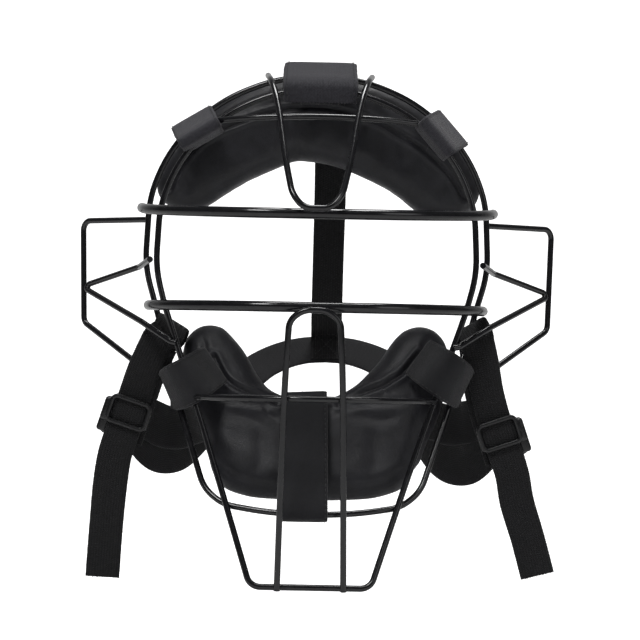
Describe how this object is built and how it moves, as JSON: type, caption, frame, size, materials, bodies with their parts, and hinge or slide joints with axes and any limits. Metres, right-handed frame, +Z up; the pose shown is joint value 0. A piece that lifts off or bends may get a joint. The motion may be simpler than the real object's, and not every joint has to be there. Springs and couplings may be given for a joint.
{
  "type": "catcher's mask",
  "caption": "Wire-frame face mask with forehead and chin pads, ear guards, throat extension and an adjustable strap harness.",
  "frame": {"origin": "centre of the eye opening in the plane of the rear ring", "axes": "+Z up, +Y towards the wearer's head, +X to the wearer's left"},
  "size_m": [0.2954, 0.1883, 0.3095],
  "materials": {
    "cage_steel": "gloss black powder-coated steel wire",
    "pad_leather": "soft satin black synthetic leather",
    "pad_foam": "closed-cell foam",
    "tab_woven": "charcoal woven hook-and-loop tape",
    "tab_smooth": "brushed black loop fabric",
    "webbing": "ribbed black polypropylene webbing",
    "elastic": "flat black woven elastic",
    "buckle_plastic": "moulded black acetal, soft gloss on its edges"
  },
  "bodies": {
    "mask": {"rear_ring": "cage_steel", "front_ring": "cage_steel", "upper_eye_bar": "cage_steel", "lower_eye_bar": "cage_steel", "forehead_loop": "cage_steel", "chin_loop": "cage_steel", "brow_bar": "cage_steel", "chin_bar": "cage_steel", "ear_guard_loop_left": "cage_steel", "ear_guard_loop_right": "cage_steel", "ear_guard_brace_left": "cage_steel", "ear_guard_brace_right": "cage_steel", "forehead_pad_cover": "pad_leather", "forehead_pad_foam": "pad_foam", "chin_pad_cover": "pad_leather", "chin_pad_foam": "pad_foam", "forehead_tab_center": "tab_woven", "forehead_tab_left": "tab_woven", "forehead_tab_right": "tab_woven", "cheek_tab_left": "tab_smooth", "cheek_tab_right": "tab_smooth", "chin_tab": "tab_smooth", "rear_strap_end_left": "elastic", "rear_strap_end_right": "elastic", "side_strap_left": "webbing", "side_strap_right": "webbing"},
    "harness": {"top_strap": "webbing", "rear_strap": "elastic"},
    "buckle_left": {"buckle_left": "buckle_plastic"},
    "tail_left": {"strap_tail_left": "webbing"},
    "buckle_right": {"buckle_right": "buckle_plastic"},
    "tail_right": {"strap_tail_right": "webbing"}
  },
  "joints": [
    {"name": "harness_swing", "type": "hinge", "parent": "mask", "child": "harness", "pos_m": [0.007, 0, 0.1092], "axis": [1, 0, 0], "range_deg": [0, 40]},
    {"name": "left_buckle_slide", "type": "slide", "parent": "mask", "child": "buckle_left", "axis": [0.309, 0, 0.9511], "range_m": [-0.015, 0.012]},
    {"name": "left_tail_swing", "type": "hinge", "parent": "buckle_left", "child": "tail_left", "pos_m": [-0.11189, -0.0179, -0.10311], "axis": [-0.9511, 0, 0.309], "range_deg": [0, 60]},
    {"name": "right_buckle_slide", "type": "slide", "parent": "mask", "child": "buckle_right", "axis": [-0.3256, 0, 0.9455], "range_m": [-0.015, 0.012]},
    {"name": "right_tail_swing", "type": "hinge", "parent": "buckle_right", "child": "tail_right", "pos_m": [0.11266, -0.0179, -0.11126], "axis": [-0.9455, 0, -0.3256], "range_deg": [0, 60]}
  ]
}
